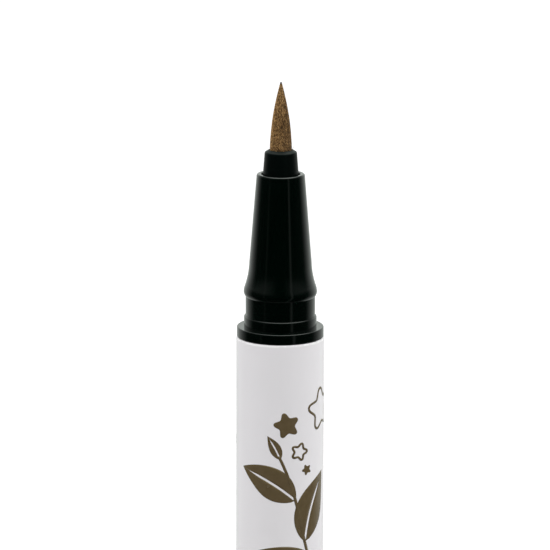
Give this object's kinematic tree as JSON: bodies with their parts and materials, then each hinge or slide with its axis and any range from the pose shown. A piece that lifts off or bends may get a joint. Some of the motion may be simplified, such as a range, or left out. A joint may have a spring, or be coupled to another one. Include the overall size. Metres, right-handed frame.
{
  "type": "liquid eyeliner pen",
  "caption": "Brush-tip liquid eyeliner pen: black tapered nose, white printed barrel round an ink tank and collector, and a cap with a sprung inner cap pushed on its tail.",
  "frame": {"origin": "centre of the foot of the cap, on the surface that the pen stands on", "axes": "+Z along the pen towards the tip of the brush; +X and +Y are alike"},
  "size_m": [0.0104, 0.0104, 0.1583],
  "materials": {
    "white_plastic": "glossy, printed",
    "black_plastic": "glossy",
    "natural_plastic": "satin, uncoloured",
    "steel": "bright",
    "seal_rubber": "satin",
    "brush_fibre": "fine wet fibres",
    "feed_fibre": "bonded fibres, soaked"
  },
  "bodies": {
    "cap": {"cap_shell": "white_plastic", "cap_end_plug": "white_plastic", "inner_cap_spring": "steel"},
    "inner_cap": {"inner_cap": "natural_plastic"},
    "pen": {"tail_plug": "black_plastic", "barrel": "white_plastic", "ink_tank": "natural_plastic", "tank_stopper": "natural_plastic", "collector": "natural_plastic", "seal_ring": "seal_rubber", "nose_section": "black_plastic", "brush_ferrule": "black_plastic", "brush": "brush_fibre", "core_bush": "natural_plastic", "relay_core": "feed_fibre"},
    "mixing_ball": {"mixing_ball": "steel"}
  },
  "joints": [
    {"name": "pen_draw_out", "type": "slide", "parent": "cap", "child": "pen", "axis": [0, 0, 1], "range_m": [0, 0.03]},
    {"name": "inner_cap_press", "type": "slide", "parent": "cap", "child": "inner_cap", "axis": [0, 0, -1], "range_m": [0, 0.002], "stiffness_N_per_m": 250, "springref_m": -0.003, "deforming": ["inner_cap_spring"]},
    {"name": "ball_shake", "type": "slide", "parent": "pen", "child": "mixing_ball", "axis": [0, 0, 1], "range_m": [0, 0.0257]}
  ]
}
